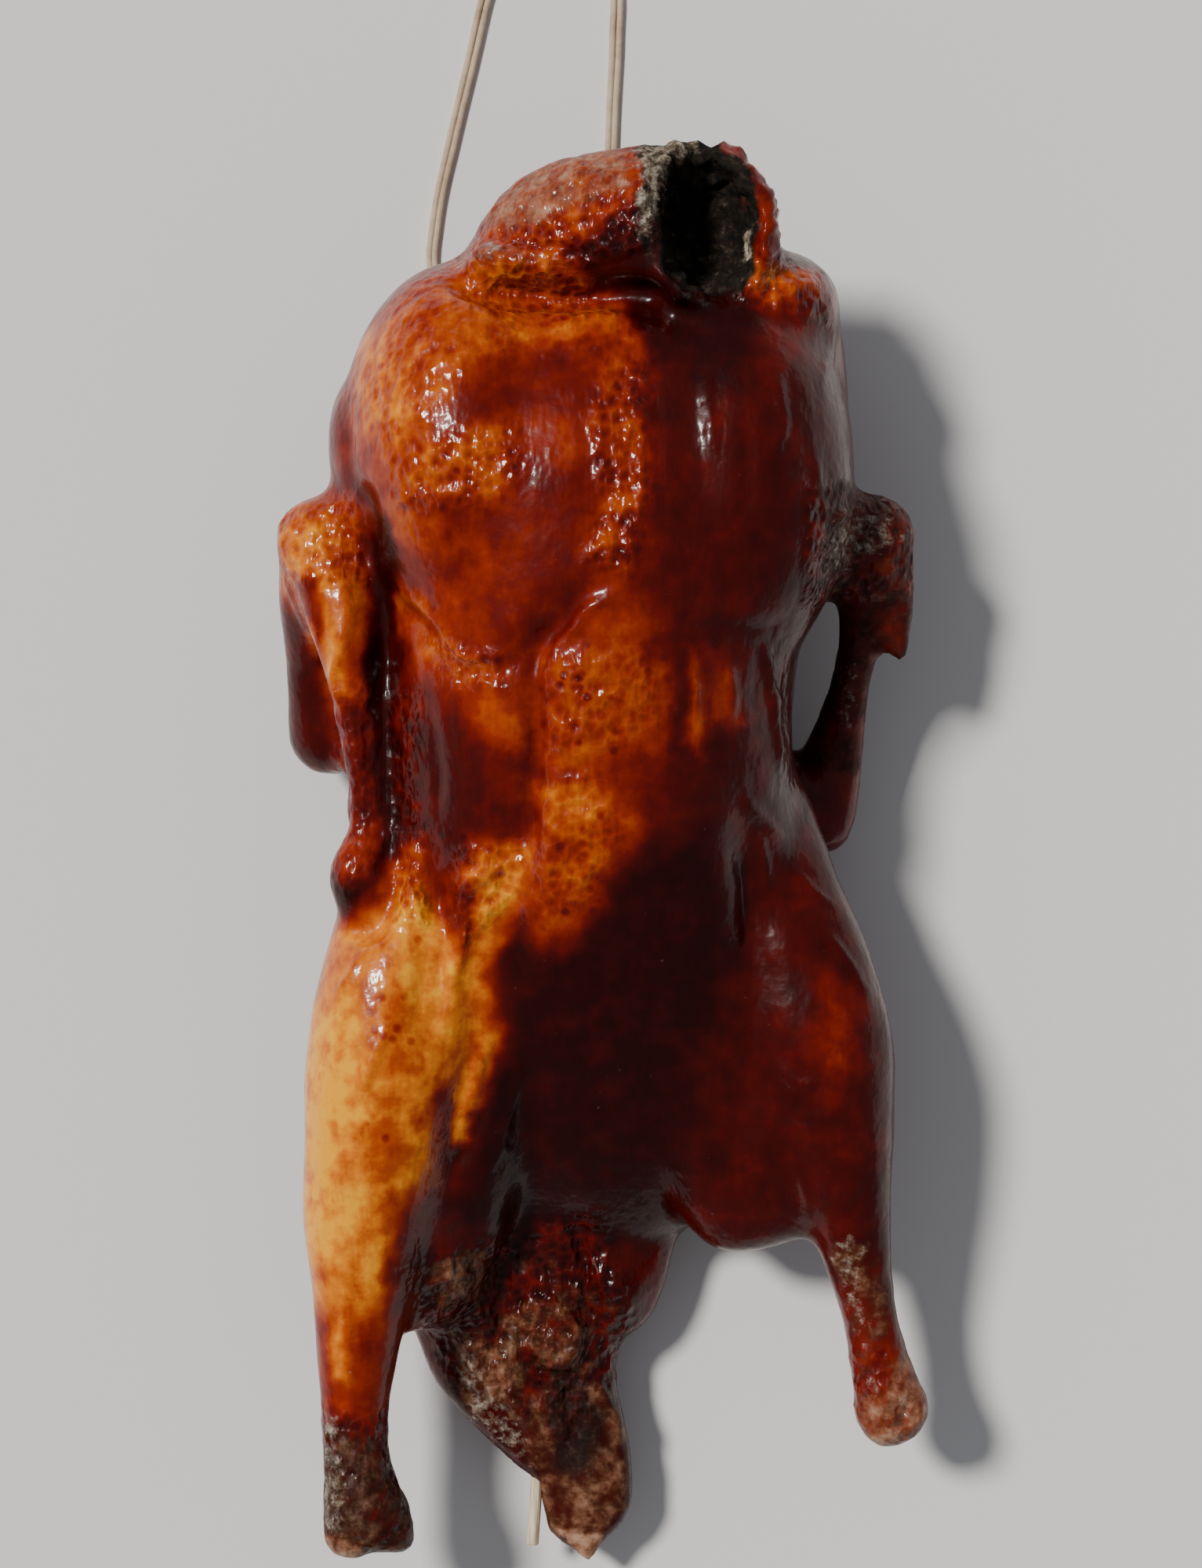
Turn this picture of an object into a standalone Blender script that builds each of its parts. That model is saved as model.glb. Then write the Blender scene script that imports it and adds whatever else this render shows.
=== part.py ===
"""A whole roast duck on its back: one closed body of browned meat and skin, a skewer stub, and its hanging twine.

The duck was hung by a doubled twine loop behind its folded neck, so its legs and wings keep their hanging pose.
X runs from the duck's right side to its left side, +Y runs towards the neck, and +Z is the breast side.
Lengths in the tables below are millimetres. The scene is in metres.
"""

import math

import bmesh
import bpy
import numpy as np
from mathutils import Euler, Matrix, Vector

MM = 0.001
VOXEL = 2.4 * MM
DUCK_TRIANGLES = 10600
FLESH_STEPS = 8

# The middle of the duck's footprint in the tables, which becomes the origin.
MIDDLE = (1.4, -6.3)

# The trunk, from the neck root to the vent: y, right flank x, left flank x, back z, breast z.
TRUNK = (
    (182, -20, 36, 34, 60),
    (176, -36, 57, 20, 71),
    (166, -52, 68, 11, 84),
    (150, -67, 71.5, 3, 97),
    (130, -79.5, 73, -2, 107),
    (105, -78, 71, -3, 112),
    (80, -64.5, 64, -3, 111),
    (55, -61.5, 57.5, -3, 108),
    (30, -61.5, 56.5, -3, 103),
    (5, -61, 61, -3, 97),
    (-20, -60, 64, -3, 89),
    (-45, -54, 60, -3, 79),
    (-70, -48, 54, -2, 66),
    (-94, -44, 46, 1, 52),
    (-114, -34, 28, 8, 36),
)

# The tail and the skin round the vent, the same columns.
TAIL = (
    (-86, -48, 26, 10, 44),
    (-116, -55, 23, 5, 35),
    (-132, -59, 20, 4, 32),
    (-143, -58.5, 15, 5, 31),
    (-150, -55, 6, 6, 30),
    (-160, -51.5, 5.5, 7, 29),
    (-171, -43, 7.5, 8, 28),
    (-182, -31, 9.5, 9, 27),
    (-191, -21.5, 10.5, 10, 26),
    (-200, -18.5, 9.5, 11, 25),
    (-207, -17, 5.5, 12, 23.5),
    (-211.5, -12.5, 0, 14, 22),
)

# The skin webs from the left thigh and the right thigh to the vent, the same columns.
LEFT_WEB = (
    (-20, 20, 70, 26, 78),
    (-45, 14, 80, 26, 77),
    (-70, 12, 82, 27, 71),
    (-90, 16, 79, 28, 64),
    (-105, 22, 72, 29, 57),
    (-114, 28, 62, 30, 51),
    (-119, 34, 46, 32, 46),
)
RIGHT_WEB = (
    (-20, -68, -18, 26, 80),
    (-45, -76, -18, 26, 78),
    (-70, -78, -20, 26, 74),
    (-95, -76, -24, 26, 66),
    (-118, -72, -30, 26, 57),
    (-133, -68, -38, 27, 50),
    (-143, -66, -48, 29, 44),
)

# Round limbs: x, y, z and radius of each joint and of the flesh between.
RIGHT_LEG = (
    (-46, 8, 50, 22),
    (-53.5, -18, 54, 22.8),
    (-57.8, -40, 57, 25.2),
    (-62, -62, 58, 24.8),
    (-65.5, -84, 58, 22.3),
    (-69, -108, 57, 18.6),
    (-70.5, -130, 55, 15),
    (-71.6, -150, 54, 12.2),
    (-72.2, -166, 53, 10.3),
    (-72, -178, 52, 10.4),
    (-70.5, -188, 52, 11.2),
)
LEFT_LEG = (
    (43, 8, 48, 20.5),
    (49.5, -14, 51, 21.6),
    (57.5, -36, 54, 23),
    (64, -58, 55, 22.4),
    (68.8, -80, 54, 18.2),
    (72.4, -100, 51, 14),
    (75.4, -118, 47, 11),
    (78.8, -135, 44, 8.9),
    (82.2, -149, 42, 9),
    (84.4, -158, 41, 10),
)
NECK = (
    (-21, 150, 50, 25),
    (-19, 163, 63, 23.5),
    (-11, 175, 73, 23.5),
    (2, 179, 80, 22.8),
    (15, 179, 84, 22.6),
    (29, 178.5, 84, 22.6),
)
RIGHT_UPPER_WING = ((-60, 132, 34, 15), (-70, 98, 26, 13), (-79, 62, 22, 12.4), (-81, 37, 22, 13))
RIGHT_FOREARM = ((-81, 36, 24, 14), (-83.5, 56, 34, 11), (-84, 74, 46, 12), (-81, 90, 54, 13))
RIGHT_HAND = (
    (-80, 90, 58, 13),
    (-76.5, 74, 64, 11),
    (-73.5, 58, 66, 9),
    (-70.5, 38, 65, 7),
    (-68, 18, 64, 5.6),
    (-69, 2, 64, 6),
)
RIGHT_WING_SKIN = ((-64, 96, 38, 11), (-67, 78, 37, 10), (-67, 56, 36, 10), (-66, 30, 36, 10), (-66, 10, 40, 10))
LEFT_UPPER_WING = ((56, 130, 32, 13), (49, 98, 20, 11), (44, 66, 16, 10), (45, 34, 16, 9.5), (58, 12, 19, 10.5))
LEFT_FOREARM = (
    (66, 9, 21, 11),
    (69, 24, 24, 10.2),
    (71.5, 36, 29, 8.2),
    (74.5, 50, 35, 6.6),
    (77.5, 66, 43, 7.4),
    (79, 84, 50, 12),
)
LEFT_THUMB = ((84, 86, 50, 8.4), (87, 72, 49, 5.6), (88.5, 58, 47, 3.6))
LEFT_WING_SKIN = ((60, 91, 48, 13), (74, 87, 50, 11.5))

# Rounded lumps: centre, radii, and the turn about Z in degrees.
LUMPS = {
    "right_wrist": ((-81, 91, 57), (14.8, 13.8, 13.5), 0),
    "right_wing_tip": ((-71, -6, 64), (8.6, 12.6, 10.4), -8),
    "left_wrist": ((79, 92, 51), (13.8, 13.8, 13), 0),
    "right_hock": ((-69, -193, 52), (13.4, 10.5, 10.8), 0),
    "right_hock_outer": ((-74, -200.5, 53), (7.8, 8.2, 8.8), 0),
    "right_hock_inner": ((-60.5, -200.5, 51), (7, 7, 8.2), 0),
    "left_hock": ((85.6, -165.5, 40), (11.6, 12.6, 10.6), 18),
    "left_hock_outer": ((90.8, -165.5, 41), (7.8, 8.6, 9), 0),
    "tail_nub": ((-4.4, -212.5, 18), (4, 5.6, 4), 0),
    "tail_lump_right": ((-38, -132, 26), (15, 14, 11), -30),
    "tail_lump_middle": ((-16, -146, 25), (12, 13, 9), -20),
    "tail_lump_left": ((2, -128, 25), (12, 15, 9), 10),
    "breast_right": ((-34, 113, 62), (40, 60, 47.5), 12),
    "breast_left": ((36, 108, 62), (38, 60, 47), -3),
    "belly": ((8, 30, 58), (48, 60, 45), 0),
    "shoulder_left": ((51, 158, 58), (19, 18, 31), 0),
    "shoulder_right": ((-48, 141, 54), (22, 21, 32), 0),
    "neck_fold": ((-21, 167.5, 86), (18, 6, 9), -12),
    "neck_flap": ((45, 168, 82), (3.6, 6.5, 5), -24),
}

# The open end of the neck skin: an ellipsoid hollows it, and burnt lumps stand round its rim.
NECK_HOLLOW = ((30.5, 177.5, 102), (14.5, 21.5, 28), 12)
CHAR_LUMPS = 12
CHAR_RING = (16.5, 20, 5.2)

# Creases in the skin: route in x and y, width and depth, seen from the breast side.
CREASES = (
    (((-69, 107), (-67, 99), (-66, 91), (-66, 84)), 4, 4.5),
    (((-59, 8), (-59.5, -6), (-62, -16), (-68, -22), (-77, -23)), 4.6, 5),
    (((-46, 164), (-28, 159), (-6, 157.5), (10, 158), (24, 153)), 5, 6),
    (((7, 146), (7, 120), (4, 96), (2, 84)), 6, 2.5),
    (((-63, 84), (-58, 72), (-46, 60), (-34, 52), (-24, 55), (-16, 66), (-6, 80)), 5, 2.6),
    (((4, 78), (-8, 68), (-18, 52), (-19, 30), (-22, 12), (-28, -8), (-26, -30), (-30, -60)), 6, 3.8),
    (((4, 61), (24, 61), (44, 62), (56, 65)), 5, 1.6),
    (((40, 14), (45, -10), (44, -40), (42, -70), (40, -92)), 9, 4),
    (((-52, 4), (-48, -14), (-50, -34), (-52, -60)), 5, 2.5),
    (((-38, -20), (-36, -50), (-40, -80), (-44, -104)), 6, 3),
    (((-44, -100), (-36, -122), (-24, -145), (-16, -170)), 6, 3),
    (((-8, -104), (-4, -128), (-3, -146)), 5, 2.5),
)

# The skewer that closes the tail end: where it shows, its far end, and its radius.
SKEWER_IN = (-18.5, -178, 19.5)
SKEWER_OUT = (-20.8, -210.5, 18.5)
SKEWER_RADIUS = 1.9
SKEWER_GAP = 0.35

# The hanging loop lies on the same surface as the duck: two strands part under the neck root and meet in a knot.
TWINE_RADIUS = 1.6
TWINE_HEIGHT = 1.7
TWINE_LEFT = (
    (-11.5, 290.3), (-5, 286), (1.5, 277), (4.8, 264), (4.6, 250), (3.9, 234), (3.2, 218), (2.4, 203), (1.2, 189),
    (-0.8, 177), (-4.5, 166), (-11, 158.2), (-21, 155.4),
)
TWINE_RIGHT = (
    (-24.7, 155.4), (-34.5, 156.8), (-43.5, 162), (-49.8, 170.5), (-52, 181), (-51, 192), (-48.8, 205), (-45.6, 219),
    (-42, 234), (-38.6, 249), (-35, 264), (-31, 277), (-25.5, 288),
)
TWINE_SPACING = 4
KNOT_CENTRE = (-19.6, 291.9, 5)
KNOT_RADII = (7.2, 5.8, 4.9)


def clear_scene():
    for obj in list(bpy.data.objects):
        bpy.data.objects.remove(obj)


def collection(name):
    made = bpy.data.collections.new(name)
    bpy.context.scene.collection.children.link(made)
    return made


def material(name, colour, roughness):
    made = bpy.data.materials.new(name)
    made.use_nodes = True
    shader = made.node_tree.nodes["Principled BSDF"]
    shader.inputs["Base Color"].default_value = (*colour, 1)
    shader.inputs["Roughness"].default_value = roughness
    shader.inputs["Metallic"].default_value = 0
    return made


def mesh_object(name, bm, home):
    mesh = bpy.data.meshes.new(name)
    bm.to_mesh(mesh)
    bm.free()
    obj = bpy.data.objects.new(name, mesh)
    home.objects.link(obj)
    return obj


def evaluated_copy(obj, name, home):
    """A new mesh object with obj's modifiers or bevel applied; obj is removed."""
    bpy.context.view_layer.update()
    graph = bpy.context.evaluated_depsgraph_get()
    mesh = bpy.data.meshes.new_from_object(obj.evaluated_get(graph))
    place = obj.matrix_world.copy()
    bpy.data.objects.remove(obj)
    made = bpy.data.objects.new(name, mesh)
    made.matrix_world = place
    home.objects.link(made)
    return made


def smooth_through(points, count):
    """Points of a smooth curve through the given rows, evenly numbered (a Catmull-Rom curve)."""
    rows = np.array(points, float)
    padded = np.vstack([2 * rows[0] - rows[1], rows, 2 * rows[-1] - rows[-2]])
    out = []
    for t in np.linspace(0, len(rows) - 1, count):
        i = min(int(t), len(rows) - 2)
        u = t - i
        a, b, c, d = padded[i : i + 4]
        out.append(
            0.5 * (2 * b + (c - a) * u + (2 * a - 5 * b + 4 * c - d) * u**2 + (3 * b - a - 3 * c + d) * u**3)
        )
    return np.array(out)


def ellipsoid(name, centre, radii, turn_z, home):
    bm = bmesh.new()
    bmesh.ops.create_uvsphere(bm, u_segments=40, v_segments=24, radius=1)
    turn = Euler((0, 0, math.radians(turn_z))).to_matrix().to_4x4()
    size = Matrix.Diagonal((*[r * MM for r in radii], 1))
    bm.transform(Matrix.Translation(Vector(centre) * MM) @ turn @ size)
    return mesh_object(name, bm, home)


def limb(name, joints, home):
    """A round limb: a bevelled curve through its joints, with a ball at each end."""
    curve = bpy.data.curves.new(name, "CURVE")
    curve.dimensions = "3D"
    curve.bevel_depth = MM
    curve.bevel_resolution = 8
    curve.use_fill_caps = True
    rows = smooth_through(joints, 6 * len(joints))
    spline = curve.splines.new("POLY")
    spline.points.add(len(rows) - 1)
    for point, (x, y, z, radius) in zip(spline.points, rows):
        point.co = (x * MM, y * MM, z * MM, 1)
        point.radius = radius
    obj = bpy.data.objects.new(name, curve)
    home.objects.link(obj)
    for x, y, z, radius in (joints[0], joints[-1]):
        ellipsoid(name + "_end", (x, y, z), (radius, radius, radius), 0, home)
    return evaluated_copy(obj, name, home)


def burnt_rim(home):
    """Burnt lumps round the neck's open end, largest and highest on the side of the breast's middle."""
    (x, y, z), _, tilt = NECK_HOLLOW
    across, along, size = CHAR_RING
    turn = Matrix.Rotation(math.radians(tilt), 2)
    for k in range(CHAR_LUMPS):
        angle = math.radians(-20 + 265 * k / (CHAR_LUMPS - 1))
        inner_side = 0.5 - 0.5 * math.cos(angle)
        radius = size * (0.72 + 0.4 * inner_side + 0.22 * math.sin(2.7 * k))
        aside = turn @ Vector((across * math.cos(angle), along * math.sin(angle)))
        height = z - 12 + 10 * inner_side - 6 * max(0, math.sin(angle)) ** 2 + 1.6 * math.sin(1.9 * k)
        ellipsoid("char", (x + aside.x, y + aside.y, height), (radius, radius * 1.2, radius * 1.3), 40 * k, home)


def slab(name, stations, home, flatness):
    """A loft across Y: each station is an oval between its two sides, its back and its breast."""
    sides = 40
    bm = bmesh.new()
    loops = []
    for y, x_low, x_high, z_low, z_high in smooth_through(stations, 4 * len(stations)):
        half_x, half_z = (x_high - x_low) / 2, (z_high - z_low) / 2
        ring = []
        for k in range(sides):
            angle = 2 * math.pi * k / sides
            c, s = math.cos(angle), math.sin(angle)
            power = flatness if s < 0 else 2.1
            x = math.copysign(abs(c) ** (2 / power), c)
            z = math.copysign(abs(s) ** (2 / power), s)
            centre = Vector(((x_low + x_high) / 2, y, (z_low + z_high) / 2))
            ring.append(bm.verts.new((centre + Vector((x * half_x, 0, z * half_z))) * MM))
        loops.append([bm.edges.new((ring[k], ring[(k + 1) % sides])) for k in range(sides)])
    for first, second in zip(loops, loops[1:]):
        bmesh.ops.bridge_loops(bm, edges=first + second)
    for end in (loops[0], loops[-1]):
        bmesh.ops.contextual_create(bm, geom=end)
    bmesh.ops.recalc_face_normals(bm, faces=bm.faces)
    return mesh_object(name, bm, home)


def fuse(parts, hollow, home):
    """The parts joined into one skin: voxels melt them together, and a smoothing pass softens the joins."""
    bm = bmesh.new()
    for part in parts:
        bm.from_mesh(part.data)
        bpy.data.objects.remove(part)
    obj = mesh_object("duck", bm, home)
    melt = obj.modifiers.new("melt", "REMESH")
    melt.mode = "VOXEL"
    melt.voxel_size = VOXEL
    cut = obj.modifiers.new("neck_hollow", "BOOLEAN")
    cut.operation = "DIFFERENCE"
    cut.object = hollow
    again = obj.modifiers.new("skin", "REMESH")
    again.mode = "VOXEL"
    again.voxel_size = VOXEL
    soften = obj.modifiers.new("soften", "SMOOTH")
    soften.factor = 0.5
    soften.iterations = FLESH_STEPS
    return evaluated_copy(obj, "duck", home)


def crease_skin(obj):
    """Presses each crease into the breast side, deepest on its route and fading to nothing at its width."""
    mesh = obj.data
    count = len(mesh.vertices)
    place, normal = np.zeros(count * 3), np.zeros(count * 3)
    mesh.vertices.foreach_get("co", place)
    mesh.vertices.foreach_get("normal", normal)
    place, normal = place.reshape(-1, 3) / MM, normal.reshape(-1, 3)
    sink = np.zeros(count)
    for route, width, depth in CREASES:
        line = smooth_through(route, 12 * len(route))
        ends = np.linspace(0, 1, len(line))
        fade = np.clip(np.minimum(ends, 1 - ends) * 5, 0.15, 1)
        near = np.linalg.norm(place[:, None, :2] - line[None], axis=2)
        index = near.argmin(axis=1)
        far = near[np.arange(count), index]
        sink += depth * fade[index] * np.exp(-((far / width) ** 2) * 2)
    facing = np.clip(normal[:, 2] * 1.6, 0, 1)
    place -= normal * (sink * facing)[:, None]
    mesh.vertices.foreach_set("co", (place * MM).ravel())
    mesh.update()


def rest_flat(obj):
    """Cuts the back flat where it rests, and closes the cut with one flat face."""
    bm = bmesh.new()
    bm.from_mesh(obj.data)
    cut = bmesh.ops.bisect_plane(
        bm,
        geom=[*bm.verts, *bm.edges, *bm.faces],
        dist=1e-7,
        plane_co=(0, 0, 0),
        plane_no=(0, 0, -1),
        clear_outer=True,
    )
    rim = [e for e in cut["geom_cut"] if isinstance(e, bmesh.types.BMEdge)]
    bmesh.ops.holes_fill(bm, edges=rim, sides=0)
    bmesh.ops.triangulate(bm, faces=bm.faces)
    bmesh.ops.recalc_face_normals(bm, faces=bm.faces)
    bm.to_mesh(obj.data)
    bm.free()


def thin_out(obj, triangles, home):
    bm = bmesh.new()
    bm.from_mesh(obj.data)
    bmesh.ops.triangulate(bm, faces=bm.faces)
    bm.to_mesh(obj.data)
    bm.free()
    fewer = obj.modifiers.new("fewer", "DECIMATE")
    fewer.ratio = triangles / len(obj.data.polygons)
    return evaluated_copy(obj, obj.name, home)


def rod(name, start, end, radius, home, sides=14):
    """A straight round stick between two points."""
    a, b = Vector(start) * MM, Vector(end) * MM
    bm = bmesh.new()
    bmesh.ops.create_cone(
        bm,
        cap_ends=True,
        segments=sides,
        radius1=radius * MM,
        radius2=radius * MM,
        depth=(b - a).length,
    )
    turn = (b - a).to_track_quat("Z", "Y").to_matrix().to_4x4()
    bm.transform(Matrix.Translation((a + b) / 2) @ turn)
    return mesh_object(name, bm, home)


def build_duck(home, guides):
    parts = [
        slab("trunk", TRUNK, guides, 2.9),
        slab("tail", TAIL, guides, 2.4),
        slab("left_web", LEFT_WEB, guides, 2.2),
        slab("right_web", RIGHT_WEB, guides, 2.2),
    ]
    for centre, radii, turn in LUMPS.values():
        parts.append(ellipsoid("lump", centre, radii, turn, guides))
    burnt_rim(guides)
    limbs = (
        RIGHT_LEG, LEFT_LEG, NECK, RIGHT_UPPER_WING, RIGHT_FOREARM, RIGHT_HAND, RIGHT_WING_SKIN,
        LEFT_UPPER_WING, LEFT_FOREARM, LEFT_THUMB, LEFT_WING_SKIN,
    )
    for joints in limbs:
        limb("limb", joints, guides)
    parts = [obj for obj in guides.objects]
    hollow = ellipsoid("neck_hollow", *NECK_HOLLOW, guides)
    duck = fuse(parts, hollow, home)
    bpy.data.objects.remove(hollow)
    crease_skin(duck)
    duck = thin_out(duck, DUCK_TRIANGLES, home)
    rest_flat(duck)
    socket = rod("skewer_socket", SKEWER_IN, SKEWER_OUT, SKEWER_RADIUS + SKEWER_GAP, guides)
    drill = duck.modifiers.new("skewer_socket", "BOOLEAN")
    drill.operation = "DIFFERENCE"
    drill.object = socket
    duck = evaluated_copy(duck, "duck", home)
    bpy.data.objects.remove(socket)
    duck.data.shade_smooth()
    return duck


def build_skewer(home):
    start = Vector(SKEWER_IN) + (Vector(SKEWER_OUT) - Vector(SKEWER_IN)).normalized() * SKEWER_GAP
    skewer = rod("skewer", start, SKEWER_OUT, SKEWER_RADIUS, home)
    edge = skewer.modifiers.new("worn_edge", "BEVEL")
    edge.width = 0.5 * MM
    edge.segments = 2
    edge.limit_method = "ANGLE"
    skewer.data.set_sharp_from_angle(angle=math.radians(40))
    return skewer


def build_strand(name, route, home):
    """One strand of the loop: a plain round tube on a smooth curve through its route."""
    fine = smooth_through(route, 600)
    steps = np.linalg.norm(np.diff(fine, axis=0), axis=1)
    along = np.concatenate([[0], np.cumsum(steps)])
    count = round(along[-1] / TWINE_SPACING) + 1
    curve = bpy.data.curves.new(name, "CURVE")
    curve.dimensions = "3D"
    curve.bevel_depth = TWINE_RADIUS * MM
    curve.bevel_resolution = 2
    curve.use_fill_caps = True
    spline = curve.splines.new("POLY")
    spline.points.add(count - 1)
    for point, s in zip(spline.points, np.linspace(0, along[-1], count)):
        x, y = (float(np.interp(s, along, fine[:, k])) for k in (0, 1))
        point.co = (x * MM, y * MM, TWINE_HEIGHT * MM, 1)
    strand = bpy.data.objects.new(name, curve)
    home.objects.link(strand)
    return strand


def main():
    clear_scene()
    home = collection("roast_duck")
    guides = collection("guides")
    duck = build_duck(home, guides)
    skewer = build_skewer(home)
    right = build_strand("twine_right", TWINE_RIGHT, home)
    left = build_strand("twine_left", TWINE_LEFT, home)
    knot = ellipsoid("twine_knot", KNOT_CENTRE, KNOT_RADII, 0, home)
    bpy.data.collections.remove(guides)
    skin = material("roast_skin", (0.36, 0.09, 0.02), 0.28)
    string = material("string", (0.55, 0.42, 0.28), 0.8)
    wood = material("skewer_wood", (0.78, 0.68, 0.5), 0.6)
    for obj, finish in ((duck, skin), (skewer, wood), (right, string), (left, string), (knot, string)):
        obj.data.materials.clear()
        obj.data.materials.append(finish)
        obj.location = (-MIDDLE[0] * MM, -MIDDLE[1] * MM, 0)


main()
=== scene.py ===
import math

import bmesh
import bpy
import numpy as np
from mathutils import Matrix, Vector, noise


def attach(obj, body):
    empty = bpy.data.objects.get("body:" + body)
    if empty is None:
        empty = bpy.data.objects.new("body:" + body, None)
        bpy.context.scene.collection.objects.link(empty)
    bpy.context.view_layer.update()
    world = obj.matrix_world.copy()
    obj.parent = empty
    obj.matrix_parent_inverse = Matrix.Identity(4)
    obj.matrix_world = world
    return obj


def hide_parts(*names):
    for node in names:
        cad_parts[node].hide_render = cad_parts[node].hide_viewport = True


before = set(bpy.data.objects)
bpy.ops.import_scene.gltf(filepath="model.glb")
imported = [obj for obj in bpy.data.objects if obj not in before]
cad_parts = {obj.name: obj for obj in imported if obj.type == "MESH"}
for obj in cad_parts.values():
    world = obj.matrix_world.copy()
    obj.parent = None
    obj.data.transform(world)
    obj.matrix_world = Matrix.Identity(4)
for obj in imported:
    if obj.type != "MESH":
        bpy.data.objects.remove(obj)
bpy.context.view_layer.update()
home = bpy.context.scene.collection
MM = 0.001

# The camera looks straight down on the duck, which lies breast up, from as far as a portrait lens needs.
LENS = 85
SENSOR = 36
SEEN_LENGTH = 0.46
DUCK_MIDDLE = Vector((-0.0014, 0.0264, 0.055))

camera_data = bpy.data.cameras.new("camera")
camera_data.lens = LENS
camera_data.sensor_width = SENSOR
camera = bpy.data.objects.new("camera", camera_data)
camera.location = DUCK_MIDDLE + Vector((0, 0, SEEN_LENGTH * LENS / SENSOR))
home.objects.link(camera)
bpy.context.scene.camera = camera


# The hanging loop is doubled cotton twine: two plain strings side by side, flattened by their own pull.
# It passes under the neck root, and its two strands lie along the floor to the knot, just out of view.
TABLE_MIDDLE = (1.4, -6.3)
STRING_RADIUS = 1.04
STRING_SPREAD = (1.06, 0.78)
SPREAD_FALLS = (0.2, 0.27)
STRING_SWAY = (0.06, 0.21)
STRING_SIDES = 12
TWINE_FLOOR = 1.25
STRANDS = {
    "twine_left": (
        (-16, 291.8), (-11, 290.1), (-5, 286), (1.5, 277), (4.8, 264), (4.6, 250), (3.9, 234), (3.2, 218),
        (2.4, 203), (1.2, 189), (-0.8, 177), (-4.5, 166), (-11, 158.2), (-21, 155.4),
    ),
    "twine_right": (
        (-24.7, 155.4), (-34.5, 156.8), (-43.5, 162), (-49.8, 170.5), (-52, 181), (-51, 192), (-48.8, 205),
        (-45.6, 219), (-42, 234), (-38.6, 249), (-35, 264), (-31, 277), (-25.8, 287.5), (-23, 290.6),
    ),
}


def smooth_through(points, count):
    """Points of a smooth curve through the given ones (a Catmull-Rom curve)."""
    rows = np.array(points, float)
    padded = np.vstack([2 * rows[0] - rows[1], rows, 2 * rows[-1] - rows[-2]])
    out = []
    for t in np.linspace(0, len(rows) - 1, count):
        i = min(int(t), len(rows) - 2)
        u = t - i
        a, b, c, d = padded[i : i + 4]
        out.append(
            0.5 * (2 * b + (c - a) * u + (2 * a - 5 * b + 4 * c - d) * u**2 + (3 * b - a - 3 * c + d) * u**3)
        )
    return np.array(out)


def even_steps(points, step):
    """The same line with its points a fixed step apart."""
    lengths = np.linalg.norm(np.diff(points, axis=0), axis=1)
    along = np.concatenate([[0], np.cumsum(lengths)])
    at = np.linspace(0, along[-1], max(2, round(along[-1] / step) + 1))
    return np.stack([np.interp(at, along, points[:, k]) for k in range(points.shape[1])], axis=1)


def tube_mesh(bm, points, radius, sides):
    """Adds a round tube along the points, made as a bevelled curve, to bm."""
    curve = bpy.data.curves.new("tube", "CURVE")
    curve.dimensions = "3D"
    curve.bevel_depth = radius
    curve.bevel_resolution = sides // 2 - 2
    curve.use_fill_caps = True
    spline = curve.splines.new("POLY")
    spline.points.add(len(points) - 1)
    for point, place in zip(spline.points, points):
        point.co = (*place, 1)
    obj = bpy.data.objects.new("tube", curve)
    home.objects.link(obj)
    bpy.context.view_layer.update()
    mesh = bpy.data.meshes.new_from_object(obj.evaluated_get(bpy.context.evaluated_depsgraph_get()))
    bm.from_mesh(mesh)
    bpy.data.objects.remove(obj)
    bpy.data.meshes.remove(mesh)
    bpy.data.curves.remove(curve)


def piece(name, bm, material):
    """A finished piece on the root body, with its place in its mesh."""
    mesh = bpy.data.meshes.new(name)
    bm.to_mesh(mesh)
    bm.free()
    mesh.materials.append(material)
    mesh.shade_smooth()
    obj = bpy.data.objects.new(name, mesh)
    home.objects.link(obj)
    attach(obj, "root")
    return obj


def principled(name, colour, roughness):
    """A new material, its node tree and its shader."""
    made = bpy.data.materials.new(name)
    made.use_nodes = True
    shader = made.node_tree.nodes["Principled BSDF"]
    shader.inputs["Base Color"].default_value = (*colour, 1)
    shader.inputs["Roughness"].default_value = roughness
    return made, made.node_tree, shader


def noise_node(tree, scale, detail, roughness=0.55, stretch=(1, 1, 1)):
    """A noise texture on the piece's own coordinates, in patches of about 1/scale metres."""
    coordinates = tree.nodes.new("ShaderNodeTexCoord")
    mapping = tree.nodes.new("ShaderNodeMapping")
    mapping.inputs["Scale"].default_value = stretch
    texture = tree.nodes.new("ShaderNodeTexNoise")
    texture.inputs["Scale"].default_value = scale
    texture.inputs["Detail"].default_value = detail
    texture.inputs["Roughness"].default_value = roughness
    tree.links.new(coordinates.outputs["Object"], mapping.inputs["Vector"])
    tree.links.new(mapping.outputs["Vector"], texture.inputs["Vector"])
    return texture.outputs["Fac"]


def ramp(tree, value, stops):
    """Colours along a value from 0 to 1."""
    node = tree.nodes.new("ShaderNodeValToRGB")
    elements = node.color_ramp.elements
    while len(elements) < len(stops):
        elements.new(0.5)
    for element, (place, colour) in zip(elements, stops):
        element.position = place
        element.color = (*colour, 1)
    tree.links.new(value, node.inputs["Fac"])
    return node.outputs["Color"]


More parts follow.
